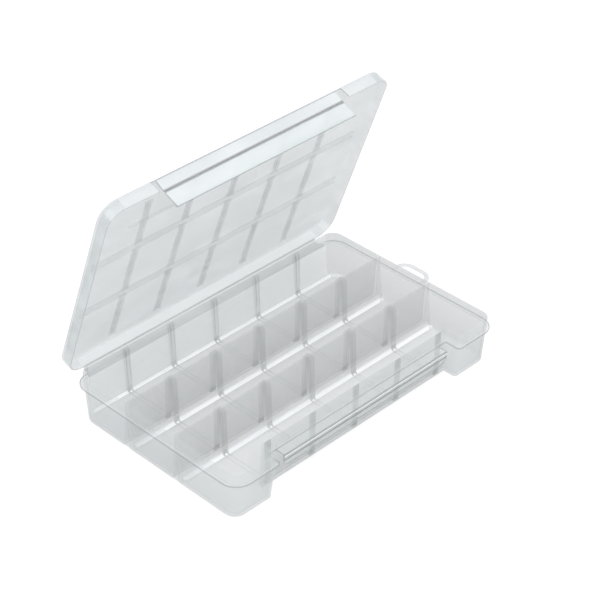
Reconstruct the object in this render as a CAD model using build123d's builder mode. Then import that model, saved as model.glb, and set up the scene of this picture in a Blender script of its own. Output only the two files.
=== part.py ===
from build123d import *
import math
import os

os.makedirs("parts", exist_ok=True)

# Millimetres. X runs along the long side, Y from the latch to the hinge, Z up.
# The origin lies on the underside of the middle bay, below the middle slot.
# The tray stands on its bay floors and the lid is held part way open.

# Tray plan
tray_length = 269.6
bay_count = 3
bay_depth = 44.1
pocket_depth = 11.8
front_block_length = 37.1
wall = 1.3
floor = 1.1
floor_edge_radius = 0.9
tray_height = 41.0
tray_corner_radius = 10.0
recess_corner_radius = 3.0

# How far each wall leans out between the floor and the rim
back_lean = 3.4
front_lean = 3.8
recess_lean = 1.4
recess_side_lean = 1.6

# Hollow partitions between the bays
partition_foot = 8.65
partition_top = 2.6
partition_skin = 1.2

# Slots for loose dividers, each between two ribs
slot_pitch = 45.0
slot_width = 2.2
slot_rib = 1.4
slot_rib_reach = 2.2
slot_rib_drop = 1.0
floor_rib = 1.0
floor_rib_height = 1.0

# Flange round the tray, on which the lid closes
flange = 1.2
flange_drop = 9.1
flange_side_reach = 3.4
flange_front_reach = 5.75
flange_back_reach = 6.55
flange_recess_reach = 2.4
flange_corner_radius = 14.3

# Catch for the latch, in the recess
catch_end_gap = 11.7
catch_lip_skin = 1.2
catch_lip_height = 9.7
catch_lip_radius = 5.5
catch_ridge_radius = 0.5
catch_ridge_drop = 4.1
catch_strip_depth = 2.6

# Hanging loop on the right side
loop_reach = 15.3
loop_width = 33.0
loop_bar = 3.7
loop_radius = 11.0
loop_offset = 6.4

# Film hinge between the tray and the lid
hinge_end_gap = 1.9
hinge_reach = 4.65
hinge_leaf_gap = 0.6
hinge_film_radius = 0.5
hinge_film_gap = 0.3

# Lid
lid_open_angle = 69.65
lid_overhang = 0.7
lid_end_overhang = 1.75
lid_corner_radius = 15.0
lid_skin = 1.1
lid_skirt = 1.2
lid_clearance = 1.15
lid_rib = 1.2
lid_rib_height = 1.5
lid_rib_clearance = 0.5
lid_rib_end_gap = 2.0
front_rib_setback = 20.4
front_rib_end_gap = 28.5

# Latch: a strip of the lid's front, with a flap on a film hinge below it
latch_end_gap = 9.4
latch_notch = 5.0
latch_setback = 1.5
latch_strip_lean = 2.0
latch_skin = 1.2
latch_hinge_depth = 10.45
latch_film_radius = 0.3
latch_film_gap = 0.3
flap_length = 14.6
flap_lean = 0.8
flap_bead_radius = 0.9
flap_bead_rise = 1.2
flap_clearance = 0.45

# Positions that follow from the sizes
side = tray_length / 2
recess_side = side - front_block_length
bay_pitch = bay_depth + partition_foot
bays_depth = bay_count * bay_depth + (bay_count - 1) * partition_foot
tray_depth = bays_depth + pocket_depth + 2 * wall
flange_depth = tray_depth + flange_front_reach + flange_back_reach
flange_side = side + flange_side_reach
flange_front = -flange_depth / 2
flange_back = flange_depth / 2
front_foot = flange_front + flange_front_reach
back_foot = flange_back - flange_back_reach
recess_foot = front_foot + pocket_depth
flange_top = tray_height - flange_drop
flange_base = flange_top - flange
rise = tray_height - floor
inner_side = side - wall
edge_radius = min(floor_edge_radius, 0.9 * floor)
partition_lean = (partition_foot - partition_top) / 2

# As many slots as fit between the ends of the recess wall
rib_offset = (slot_width + slot_rib) / 2
slot_limit = recess_side - recess_side_lean - rib_offset - slot_rib / 2
slot_count = 1 + int(2 * slot_limit // slot_pitch)
slot_centres = [(i - (slot_count - 1) / 2) * slot_pitch for i in range(slot_count)]
rib_centres = [x + s * rib_offset for x in slot_centres for s in (-1, 1)]

partition_centres = [
    back_foot - wall - bay_depth - partition_foot / 2 - i * bay_pitch for i in range(bay_count - 1)
]
bay_backs = [back_foot - wall - i * bay_pitch for i in range(bay_count)]
bay_names = [f"bay_{i + 1}" for i in range(bay_count)]

hinge_y = flange_back + hinge_reach
hinge_z = flange_top + hinge_leaf_gap / 2
lid_side = flange_side + lid_overhang
lid_front = flange_front - lid_end_overhang
lid_back = flange_back + lid_end_overhang
skirt_edge = hinge_leaf_gap / 2
lid_under = tray_height + lid_clearance - hinge_z
lid_top = lid_under + lid_skin
latch_side = recess_side - latch_end_gap
latch_length = 2 * latch_side
notch_side = latch_side + latch_notch
flange_x = flange_side - flange_corner_radius
flange_y = flange_back - flange_corner_radius
hinge_side = flange_x - hinge_end_gap
hinge_length = 2 * hinge_side

# The lid's own places are measured from the hinge, level with the closed lid
lid_y_front = lid_front - hinge_y
lid_y_back = lid_back - hinge_y
strip_y = lid_y_front + latch_setback
strip_foot_y = strip_y + latch_strip_lean
latch_y = strip_foot_y + latch_film_radius
latch_z = lid_top - latch_hinge_depth
flap_foot_y = strip_foot_y + flap_lean
flap_foot_z = latch_z - flap_length
bead_y = flap_foot_y + latch_skin - flap_lean * flap_bead_rise / flap_length
bead_z = flap_foot_z + flap_bead_rise


def lean_at(lean, z):
    return lean * (z - floor) / rise


# The lid's frame has its origin on the hinge and turns about it
lid_turn = math.radians(lid_open_angle)
lid_normal = (0, math.sin(lid_turn), math.cos(lid_turn))
lid_frame = Plane(origin=(0, hinge_y, hinge_z), x_dir=(1, 0, 0), z_dir=lid_normal)
lid_section = Plane(origin=(0, hinge_y, hinge_z), x_dir=lid_frame.y_dir, z_dir=(1, 0, 0))


def save(builder, name):
    builder.part.label = name
    export_step(builder.part, f"parts/{name}.step")


def block(x0, x1, y0, y1, plane, height, mode=Mode.ADD):
    with BuildSketch(plane) as footprint:
        with Locations(((x0 + x1) / 2, (y0 + y1) / 2)):
            Rectangle(x1 - x0, y1 - y0)
    extrude(footprint.sketch, amount=height, mode=mode)


# Tray walls: one lofted shell, cut into its straight walls and its corners
def tray_outline(z, inset):
    corner = tray_corner_radius - inset
    x1 = side - inset
    y0 = front_foot - lean_at(front_lean, z) + inset
    y1 = back_foot + lean_at(back_lean, z) - inset
    xr = recess_side - lean_at(recess_side_lean, z) + inset
    yr = recess_foot - lean_at(recess_lean, z) + inset
    outer = recess_corner_radius - inset
    points = [(-x1, y1), (-x1, y0), (-xr, y0), (-xr, yr), (xr, yr), (xr, y0), (x1, y0), (x1, y1)]
    with BuildSketch(Plane.XY.offset(z)) as outline:
        with BuildLine():
            FilletPolyline(
                *points, radius=[corner, corner, outer, 0, 0, outer, corner, corner], close=True
            )
        make_face()
    return outline.sketch


with BuildPart() as tray_core:
    loft([tray_outline(floor, 0), tray_outline(tray_height, 0)], ruled=True)

with BuildPart() as tray_shell:
    add(tray_core.part)
    loft([tray_outline(floor, wall), tray_outline(tray_height, wall)], ruled=True, mode=Mode.SUBTRACT)

far = tray_length
corner_x = side - tray_corner_radius
corner_back = back_foot - tray_corner_radius
corner_front = front_foot + tray_corner_radius
recess_inner = recess_side + recess_corner_radius
wall_regions = {
    "wall_back": (-corner_x, corner_x, corner_back, far),
    "wall_left": (-far, -corner_x, corner_front, corner_back),
    "wall_right": (corner_x, far, corner_front, corner_back),
    "corner_back_left": (-far, -corner_x, corner_back, far),
    "corner_back_right": (corner_x, far, corner_back, far),
    "corner_front_left": (-far, -corner_x, -far, corner_front),
    "corner_front_right": (corner_x, far, -far, corner_front),
    "wall_front_left": (-corner_x, -recess_inner, -far, corner_front),
    "wall_front_right": (recess_inner, corner_x, -far, corner_front),
}
for name, (x0, x1, y0, y1) in wall_regions.items():
    with BuildPart() as tray_wall:
        add(tray_shell.part)
        block(x0, x1, y0, y1, Plane.XY, tray_height, Mode.INTERSECT)
    save(tray_wall, name)

# The recess: a long wall, and a short side wall at each end
with BuildPart() as wall_recess:
    add(tray_shell.part)
    block(-recess_inner, recess_inner, -far, corner_back, Plane.XY, tray_height, Mode.INTERSECT)
    with BuildSketch(Plane.YZ) as behind_recess_face:
        with BuildLine():
            Polyline(
                (recess_foot, floor),
                (recess_foot - recess_lean, tray_height),
                (-far, tray_height),
                (-far, floor),
                close=True,
            )
        make_face()
    extrude(amount=far, both=True, mode=Mode.SUBTRACT)
save(wall_recess, "wall_recess")

for name, x0, x1 in (("recess_side_left", -recess_inner, 0), ("recess_side_right", 0, recess_inner)):
    with BuildPart() as recess_wall:
        add(tray_shell.part)
        block(x0, x1, -far, corner_back, Plane.XY, tray_height, Mode.INTERSECT)
        add(wall_recess.part, mode=Mode.SUBTRACT)
    save(recess_wall, name)

# Bay floors, with their outer lower edges rounded
for index, name in enumerate(bay_names):
    floor_back = bay_backs[index] + (wall if index == 0 else partition_skin)
    floor_front = bay_backs[index] - bay_depth - (wall if index == bay_count - 1 else partition_skin)
    with BuildPart() as bay_floor:
        block(-side, side, floor_front, floor_back, Plane.XY, floor)
        if index == 0:
            fillet(bay_floor.edges().filter_by(Axis.Z).group_by(Axis.Y)[-1], tray_corner_radius)
            lower = bay_floor.faces().sort_by(Axis.Z)[0]
            outer = [e for e in lower.edges() if e.center().Y > floor_front + edge_radius]
            fillet(outer, edge_radius)
        else:
            lower = bay_floor.faces().sort_by(Axis.Z)[0]
            fillet(lower.edges().filter_by(Axis.Y), edge_radius)
    save(bay_floor, f"floor_{name}")

for name, mirror_sign in (("pocket_floor_left", -1), ("pocket_floor_right", 1)):
    x0, x1 = sorted((mirror_sign * recess_side, mirror_sign * side))
    with BuildPart() as pocket_floor:
        block(x0, x1, front_foot, recess_foot, Plane.XY, floor)
        front_corners = pocket_floor.edges().filter_by(Axis.Z).group_by(Axis.Y)[0].sort_by(Axis.X)
        outer_corner = front_corners[0] if mirror_sign < 0 else front_corners[-1]
        inner_corner = front_corners[-1] if mirror_sign < 0 else front_corners[0]
        fillet(outer_corner, tray_corner_radius)
        fillet(inner_corner, recess_corner_radius)
        lower = pocket_floor.faces().sort_by(Axis.Z)[0]
        outer = [e for e in lower.edges() if e.center().Y < recess_foot - edge_radius]
        fillet(outer, edge_radius)
    save(pocket_floor, name)

# Partitions: a hollow wedge open below, on the edges of two bay floors
for index, y in enumerate(partition_centres):
    half_foot = partition_foot / 2
    half_top = partition_top / 2
    crown_base = tray_height - 2 * partition_skin
    crown_half = half_foot - lean_at(partition_lean, crown_base)
    with BuildPart() as partition:
        with BuildSketch(Plane.YZ.offset(-inner_side)):
            for towards in (-1, 1):
                with BuildLine():
                    Polyline(
                        (y + towards * half_foot, floor),
                        (y + towards * half_top, tray_height),
                        (y + towards * (half_top - partition_skin), tray_height),
                        (y + towards * (half_foot - partition_skin), floor),
                        close=True,
                    )
                make_face()
            with BuildLine():
                Polyline(
                    (y - crown_half, crown_base),
                    (y - half_top, tray_height),
                    (y + half_top, tray_height),
                    (y + crown_half, crown_base),
                    close=True,
                )
            make_face()
        extrude(amount=2 * inner_side)
    save(partition, f"partition_{index + 1}")


# Slot ribs stand on the floor against a leaning face and reach into the bay
def face_ribs(face_y, lean, reach):
    top = tray_height - slot_rib_drop
    shift = lean_at(lean, top)
    for x in rib_centres:
        with BuildSketch(Plane.YZ.offset(x - slot_rib / 2)) as rib:
            with BuildLine():
                Polyline(
                    (face_y, floor),
                    (face_y + reach, floor),
                    (face_y + shift + reach, top),
                    (face_y + shift, top),
                    close=True,
                )
            make_face()
        extrude(rib.sketch, amount=slot_rib)


with BuildPart() as slot_ribs_wall_back:
    face_ribs(back_foot - wall, back_lean, -slot_rib_reach)
save(slot_ribs_wall_back, "slot_ribs_wall_back")

with BuildPart() as slot_ribs_wall_recess:
    face_ribs(recess_foot + wall, -recess_lean, slot_rib_reach)
save(slot_ribs_wall_recess, "slot_ribs_wall_recess")

for index, y in enumerate(partition_centres):
    with BuildPart() as partition_ribs:
        face_ribs(y + partition_foot / 2, -partition_lean, slot_rib_reach)
        face_ribs(y - partition_foot / 2, partition_lean, -slot_rib_reach)
    save(partition_ribs, f"slot_ribs_partition_{index + 1}")

for index, name in enumerate(bay_names):
    y1 = bay_backs[index] - slot_rib_reach
    y0 = bay_backs[index] - bay_depth + slot_rib_reach
    with BuildPart() as floor_ribs:
        for x in rib_centres:
            block(x - floor_rib / 2, x + floor_rib / 2, y0, y1, Plane.XY.offset(floor), floor_rib_height)
    save(floor_ribs, f"floor_ribs_{name}")

# Flange: a rounded frame outside the walls, turned in along the recess
flange_recess_side = recess_side - lean_at(recess_side_lean, flange_base) - flange_recess_reach
with BuildPart() as flange_frame:
    with BuildSketch(Plane.XY.offset(flange_base)):
        RectangleRounded(2 * flange_side, flange_depth, flange_corner_radius)
    extrude(amount=flange)
    block(-flange_recess_side, flange_recess_side, -far, recess_foot, Plane.XY, tray_height, Mode.SUBTRACT)
    add(tray_core.part, mode=Mode.SUBTRACT)

return_y = front_foot - lean_at(front_lean, flange_base)
flange_regions = {
    "flange_back": (-flange_x, flange_x, flange_y, far),
    "flange_left": (-far, -flange_x, -flange_y, flange_y),
    "flange_right": (flange_x, far, -flange_y, flange_y),
    "flange_corner_back_left": (-far, -flange_x, flange_y, far),
    "flange_corner_back_right": (flange_x, far, flange_y, far),
    "flange_corner_front_left": (-far, -flange_x, -far, -flange_y),
    "flange_corner_front_right": (flange_x, far, -far, -flange_y),
    "flange_front_left": (-flange_x, 0, -far, return_y),
    "flange_front_right": (0, flange_x, -far, return_y),
    "flange_return_left": (-flange_x, 0, return_y, 0),
    "flange_return_right": (0, flange_x, return_y, 0),
}
for name, (x0, x1, y0, y1) in flange_regions.items():
    with BuildPart() as flange_piece:
        add(flange_frame.part)
        block(x0, x1, y0, y1, Plane.XY, tray_height, Mode.INTERSECT)
    save(flange_piece, name)

# Catch: a shelf across the recess, with a hanging lip and a ridge along it.
# The ridge just clears the bead of the closed lid's flap.
catch_half = recess_side - catch_end_gap
catch_length = 2 * catch_half
recess_face = recess_foot - lean_at(recess_lean, flange_base)
lip_front = hinge_y + bead_y + flap_bead_radius + flap_clearance
with BuildPart() as catch_shelf:
    block(-catch_half, catch_half, lip_front, recess_foot, Plane.XY.offset(flange_base), flange)
    block(
        -flange_recess_side,
        flange_recess_side,
        recess_face - catch_strip_depth,
        recess_foot,
        Plane.XY.offset(flange_base),
        flange,
    )
    add(tray_core.part, mode=Mode.SUBTRACT)
save(catch_shelf, "catch_shelf")

with BuildPart() as catch_lip:
    with BuildSketch(Plane.XZ.offset(-lip_front - catch_ridge_radius)):
        with Locations((0, flange_base - catch_lip_height / 2)):
            Rectangle(catch_length, catch_lip_height)
        lower_corners = vertices().group_by(Axis.Y)[0]
        fillet(lower_corners, catch_lip_radius)
    extrude(amount=-catch_lip_skin)
    with BuildSketch(Plane.YZ.offset(-catch_half)):
        with Locations((lip_front + catch_ridge_radius, flange_base - catch_ridge_drop)):
            Circle(catch_ridge_radius)
    extrude(amount=catch_length)
save(catch_lip, "catch_lip")

# Hanging loop on the flange's right edge
with BuildPart() as hanging_loop:
    with BuildSketch(Plane.XY.offset(flange_base)):
        with Locations((flange_side + loop_reach / 2, loop_offset)):
            Rectangle(loop_reach, loop_width)
        fillet(vertices().group_by(Axis.X)[-1], loop_radius)
        hole_reach = loop_reach - loop_bar
        with BuildSketch(mode=Mode.PRIVATE) as loop_hole:
            with Locations((flange_side + hole_reach / 2, loop_offset)):
                Rectangle(hole_reach, loop_width - 2 * loop_bar)
            fillet(vertices().group_by(Axis.X)[-1], loop_radius - loop_bar)
        add(loop_hole.sketch, mode=Mode.SUBTRACT)
    extrude(amount=flange)
save(hanging_loop, "hanging_loop")

# Tray side of the film hinge: a leaf behind the flange that ends in the film
with BuildPart() as tray_hinge_leaf:
    with BuildSketch(Plane.YZ.offset(-hinge_side)):
        with Locations(((flange_back + hinge_y) / 2, flange_base + flange / 2)):
            Rectangle(hinge_reach, flange)
        with Locations((hinge_y, hinge_z)):
            Circle(hinge_film_radius)
    extrude(amount=hinge_length)
save(tray_hinge_leaf, "tray_hinge_leaf")


# Lid skirt and plate share one outline, set back along the latch
def lid_outline(inset):
    with BuildSketch(lid_frame) as outline:
        with Locations((0, (lid_y_front + lid_y_back) / 2)):
            RectangleRounded(
                2 * (lid_side - inset), lid_y_back - lid_y_front - 2 * inset, lid_corner_radius - inset
            )
    return outline.sketch


def lid_block(x0, x1, y0, y1, z0, z1, mode=Mode.ADD):
    block(x0, x1, y0, y1, lid_frame.offset(z0), z1 - z0, mode)


with BuildPart() as lid_plate:
    extrude(lid_outline(0).moved(Location(lid_frame.z_dir * lid_under)), amount=lid_skin)
    lid_block(-notch_side, notch_side, -far, strip_y, lid_under, lid_top, Mode.SUBTRACT)
save(lid_plate, "lid_plate")

with BuildPart() as skirt_frame:
    extrude(lid_outline(0).moved(Location(lid_frame.z_dir * skirt_edge)), amount=lid_under - skirt_edge)
    extrude(lid_outline(lid_skirt), amount=lid_under, mode=Mode.SUBTRACT)
    lid_block(-notch_side, notch_side, -far, -far / 2, 0, lid_under, Mode.SUBTRACT)

lid_x = lid_side - lid_corner_radius
lid_y0 = lid_y_front + lid_corner_radius
lid_y1 = lid_y_back - lid_corner_radius
skirt_regions = {
    "lid_skirt_back": (-lid_x, lid_x, lid_y1, far),
    "lid_skirt_left": (-far, -lid_x, lid_y0, lid_y1),
    "lid_skirt_right": (lid_x, far, lid_y0, lid_y1),
    "lid_corner_back_left": (-far, -lid_x, lid_y1, far),
    "lid_corner_back_right": (lid_x, far, lid_y1, far),
    "lid_corner_front_left": (-far, -lid_x, -far, lid_y0),
    "lid_corner_front_right": (lid_x, far, -far, lid_y0),
    "lid_skirt_front_left": (-lid_x, 0, -far, lid_y0),
    "lid_skirt_front_right": (0, lid_x, -far, lid_y0),
}
for name, (x0, x1, y0, y1) in skirt_regions.items():
    with BuildPart() as skirt:
        add(skirt_frame.part)
        lid_block(x0, x1, y0, y1, 0, lid_top, Mode.INTERSECT)
    save(skirt, name)

# Lid side of the film hinge, clear of the film by a small gap
film_clear = hinge_film_radius + hinge_film_gap
with BuildPart() as lid_hinge_leaf:
    lid_block(-hinge_side, hinge_side, lid_y_back, -film_clear, skirt_edge, skirt_edge + flange)
save(lid_hinge_leaf, "lid_hinge_leaf")

# Lid ribs: pairs that straddle each partition, a shorter one behind the latch, and pairs over each slot
straddle = partition_top / 2 + lid_rib_clearance
slot_rib_front = recess_foot - recess_lean + wall + lid_rib_clearance + lid_rib - hinge_y
front_rib_y = slot_rib_front - lid_rib + front_rib_setback
rib_half_length = inner_side - lid_rib_end_gap
rib_base = lid_under - lid_rib_height
cross_ribs = [(front_rib_y, inner_side - front_rib_end_gap)]
rib_run_ends = [back_foot - wall + back_lean - lid_rib_end_gap - hinge_y]
for y in partition_centres:
    behind = y - hinge_y + straddle
    before = y - hinge_y - straddle - lid_rib
    cross_ribs += [(behind, rib_half_length), (before, rib_half_length)]
    rib_run_ends += [behind + lid_rib, before]
rib_run_ends += [front_rib_y + lid_rib, front_rib_y, slot_rib_front]
with BuildPart() as lid_cross_ribs:
    for y, half_length in cross_ribs:
        lid_block(-half_length, half_length, y, y + lid_rib, rib_base, lid_under)
save(lid_cross_ribs, "lid_cross_ribs")

with BuildPart() as lid_slot_ribs:
    for y1, y0 in zip(rib_run_ends[::2], rib_run_ends[1::2]):
        for x in rib_centres:
            lid_block(x - slot_rib / 2, x + slot_rib / 2, y0, y1, rib_base, lid_under)
save(lid_slot_ribs, "lid_slot_ribs")

# Latch strip: it leans in from the plate's edge to the flap's film hinge
strip_foot_z = latch_z + latch_film_radius + latch_film_gap
strip_slope = latch_strip_lean / (lid_top - latch_z)
strip_top_y = strip_y + strip_slope * lid_skin
strip_end_y = strip_foot_y - strip_slope * (strip_foot_z - latch_z)
with BuildPart() as latch_strip:
    with BuildSketch(lid_section.offset(-latch_side)):
        with BuildLine():
            Polyline(
                (strip_top_y, lid_under),
                (strip_end_y, strip_foot_z),
                (strip_end_y + latch_skin, strip_foot_z),
                (strip_top_y + latch_skin, lid_under),
                close=True,
            )
        make_face()
        with Locations((latch_y, (latch_z + strip_foot_z) / 2)):
            Rectangle(2 * latch_film_radius, strip_foot_z - latch_z)
        with Locations((latch_y, latch_z)):
            Circle(latch_film_radius)
    extrude(amount=latch_length)
save(latch_strip, "latch_strip")

# Flap, with a snap bead along its inner face
flap_head_z = latch_z - latch_film_radius - latch_film_gap
with BuildPart() as latch_flap:
    with BuildSketch(lid_section.offset(-latch_side)):
        with BuildLine():
            Polyline(
                (strip_foot_y, flap_head_z),
                (strip_foot_y + latch_skin, flap_head_z),
                (flap_foot_y + latch_skin, flap_foot_z),
                (flap_foot_y, flap_foot_z),
                close=True,
            )
        make_face()
    extrude(amount=latch_length)
save(latch_flap, "latch_flap")

with BuildPart() as latch_bead:
    with BuildSketch(lid_section.offset(-latch_side)):
        with Locations((bead_y, bead_z)):
            Circle(flap_bead_radius)
    extrude(amount=latch_length)
    add(latch_flap.part, mode=Mode.SUBTRACT)
save(latch_bead, "latch_bead")

print("lid hinge at y", round(hinge_y, 3), "z", round(hinge_z, 3))
latch_axis = lid_section.from_local_coords((latch_y, latch_z, 0))
print("latch hinge at y", round(latch_axis.Y, 3), "z", round(latch_axis.Z, 3))
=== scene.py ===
import bpy
import bmesh
import math
from mathutils import Matrix, Vector


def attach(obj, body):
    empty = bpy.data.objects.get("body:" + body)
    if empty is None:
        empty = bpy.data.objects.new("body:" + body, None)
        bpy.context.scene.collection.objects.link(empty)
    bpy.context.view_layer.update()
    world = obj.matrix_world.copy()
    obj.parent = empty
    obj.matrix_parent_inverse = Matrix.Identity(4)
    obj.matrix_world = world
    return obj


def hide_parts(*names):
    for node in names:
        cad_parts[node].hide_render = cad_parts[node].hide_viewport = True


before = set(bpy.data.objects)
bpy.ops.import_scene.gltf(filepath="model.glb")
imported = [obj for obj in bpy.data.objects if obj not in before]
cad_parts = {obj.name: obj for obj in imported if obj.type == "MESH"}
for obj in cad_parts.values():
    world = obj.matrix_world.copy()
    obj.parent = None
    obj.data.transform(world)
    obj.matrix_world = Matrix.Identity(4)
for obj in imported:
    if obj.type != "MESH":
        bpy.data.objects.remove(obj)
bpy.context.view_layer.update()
mm = 0.001
print("frame loaded:", len(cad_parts), "nodes")

# Many layers of clear plastic lie behind each other, so rays may pass many
bpy.context.scene.cycles.transparent_max_bounces = 96
bpy.context.scene.view_settings.view_transform = "Standard"


# Links each input that is given a socket, and sets the others
def fillInputs(node, inputs):
    for key, value in inputs.items():
        if isinstance(value, bpy.types.NodeSocket):
            node.id_data.links.new(value, node.inputs[key])
        else:
            node.inputs[key].default_value = value


def addNode(tree, kind, inputs, operation=None, dataType=None, clamp=False):
    node = tree.nodes.new(kind)
    if operation:
        node.operation = operation
    if dataType:
        node.data_type = dataType
    if clamp:
        node.use_clamp = True
    fillInputs(node, inputs)
    return node


def addSocket(tree, name, kind, direction="INPUT"):
    return tree.interface.new_socket(name=name, in_out=direction, socket_type="NodeSocket" + kind)


marksLook = {
    "cloudStretch": (0.35, 1.0, 1.0), "cloudTurn": (0.0, 0.0, math.radians(24)), "cloudDetail": 2.5,
    "cloudDistortion": 0.6, "cloudRange": (0.32, 0.68), "scratchStretch": (1.0, 0.06, 0.4),
    "scratchTurn": (0.2, 0.1, math.radians(61)), "scratchDetail": 3.0, "scratchRange": (0.62, 0.78),
    "scratchHeight": -0.04,
}


# Cloudy flow marks and fine scratches of moulded polypropylene, shared by all its finishes
# On the lid plate the strong clouds are also painted soft reflections
def makeMouldMarks():
    s = marksLook
    tree = bpy.data.node_groups.new("mouldMarks", "ShaderNodeTree")
    addSocket(tree, "Place", "Vector")
    addSocket(tree, "Cloud Size", "Float")
    addSocket(tree, "Scratch Size", "Float")
    for name in ("Cloud", "Scratch", "Height"):
        addSocket(tree, name, "Float", "OUTPUT")
    given = tree.nodes.new("NodeGroupInput")
    stretch = addNode(tree, "ShaderNodeMapping", {
        "Vector": given.outputs["Place"], "Scale": s["cloudStretch"], "Rotation": s["cloudTurn"],
    })
    cloud = addNode(tree, "ShaderNodeTexNoise", {
        "Vector": stretch.outputs["Vector"], "Scale": given.outputs["Cloud Size"],
        "Detail": s["cloudDetail"], "Distortion": s["cloudDistortion"],
    })
    scratchStretch = addNode(tree, "ShaderNodeMapping", {
        "Vector": given.outputs["Place"], "Scale": s["scratchStretch"], "Rotation": s["scratchTurn"],
    })
    scratch = addNode(tree, "ShaderNodeTexNoise", {
        "Vector": scratchStretch.outputs["Vector"], "Scale": given.outputs["Scratch Size"],
        "Detail": s["scratchDetail"],
    })
    fine = addNode(tree, "ShaderNodeMapRange", {
        "Value": scratch.outputs["Fac"], "From Min": s["scratchRange"][0], "From Max": s["scratchRange"][1],
    })
    wide = addNode(tree, "ShaderNodeMapRange", {
        "Value": cloud.outputs["Fac"], "From Min": s["cloudRange"][0], "From Max": s["cloudRange"][1],
    })
    height = addNode(tree, "ShaderNodeMath", {
        0: fine.outputs["Result"], 1: s["scratchHeight"], 2: cloud.outputs["Fac"],
    }, operation="MULTIPLY_ADD")
    addNode(tree, "NodeGroupOutput", {
        "Cloud": wide.outputs["Result"], "Scratch": fine.outputs["Result"],
        "Height": height.outputs["Value"],
    })
    return tree


mouldMarks = makeMouldMarks()


# One finish of the clear plastic. opacity is that of one face seen straight on and edgeOpacity is
# added towards a grazing view, where the light's way through the plastic is longer.
def clearPlastic(look):
    material = bpy.data.materials.new(look["name"])
    material.use_nodes = True
    tree = material.node_tree
    place = tree.nodes.new("ShaderNodeTexCoord")
    marks = tree.nodes.new("ShaderNodeGroup")
    marks.node_tree = mouldMarks
    fillInputs(marks, {
        "Place": place.outputs["Object"], "Cloud Size": look["cloudSize"],
        "Scratch Size": look["scratchSize"],
    })
    colour = addNode(tree, "ShaderNodeMix", {
        "Factor": marks.outputs["Cloud"], "A": (*look["dark"], 1), "B": (*look["light"], 1),
    }, dataType="RGBA")
    tint = colour.outputs["Result"]
    rough = addNode(tree, "ShaderNodeMapRange", {
        "Value": marks.outputs["Scratch"], "To Min": look["roughness"],
        "To Max": look["roughness"] + look["scratchRoughness"],
    })
    facing = tree.nodes.new("ShaderNodeLayerWeight")
    steep = addNode(tree, "ShaderNodeMath", {
        0: facing.outputs["Facing"], 1: look["edgePower"],
    }, operation="POWER")
    edge = addNode(tree, "ShaderNodeMath", {
        0: steep.outputs["Value"], 1: look["edgeOpacity"], 2: look["opacity"],
    }, operation="MULTIPLY_ADD")
    cover = edge.outputs["Value"]

    # Painted light: towards its foot a lit panel is painted paler and denser, from a given height down
    # to the foot height, and so are the slot ribs that stand before it
    if "paintedLightHeight" in look:
        height = addNode(tree, "ShaderNodeSeparateXYZ", {"Vector": place.outputs["Object"]})
        low = addNode(tree, "ShaderNodeMapRange", {
            "Value": height.outputs["Z"], "From Min": look["paintedLightHeight"] * mm,
            "From Max": look["paintedLightFoot"] * mm,
        })
        paintedGlow = addNode(tree, "ShaderNodeMath", {
            0: low.outputs["Result"], 1: look["paintedLightPower"],
        }, operation="POWER")
        brighter = addNode(tree, "ShaderNodeMix", {
            "Factor": paintedGlow.outputs["Value"], "A": tint, "B": (*look["paintedLightColour"], 1),
        }, dataType="RGBA")
        tint = brighter.outputs["Result"]
        covered = addNode(tree, "ShaderNodeMath", {
            0: paintedGlow.outputs["Value"], 1: look["paintedLightOpacity"], 2: cover,
        }, operation="MULTIPLY_ADD")
        cover = covered.outputs["Value"]

    cloudy = addNode(tree, "ShaderNodeMapRange", {
        "Value": marks.outputs["Cloud"], "To Min": 1 - look["cloudiness"], "To Max": 1 + look["cloudiness"],
    })
    opacity = addNode(tree, "ShaderNodeMath", {
        0: cover, 1: cloudy.outputs["Result"],
    }, operation="MULTIPLY", clamp=True)
    bump = addNode(tree, "ShaderNodeBump", {
        "Height": marks.outputs["Height"], "Strength": look["bump"], "Distance": look["bumpHeight"] * mm,
    })
    fillInputs(tree.nodes["Principled BSDF"], {
        "Base Color": tint, "Roughness": rough.outputs["Result"], "IOR": look["ior"],
        "Alpha": opacity.outputs["Value"], "Normal": bump.outputs["Normal"],
    })
    return material
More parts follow.
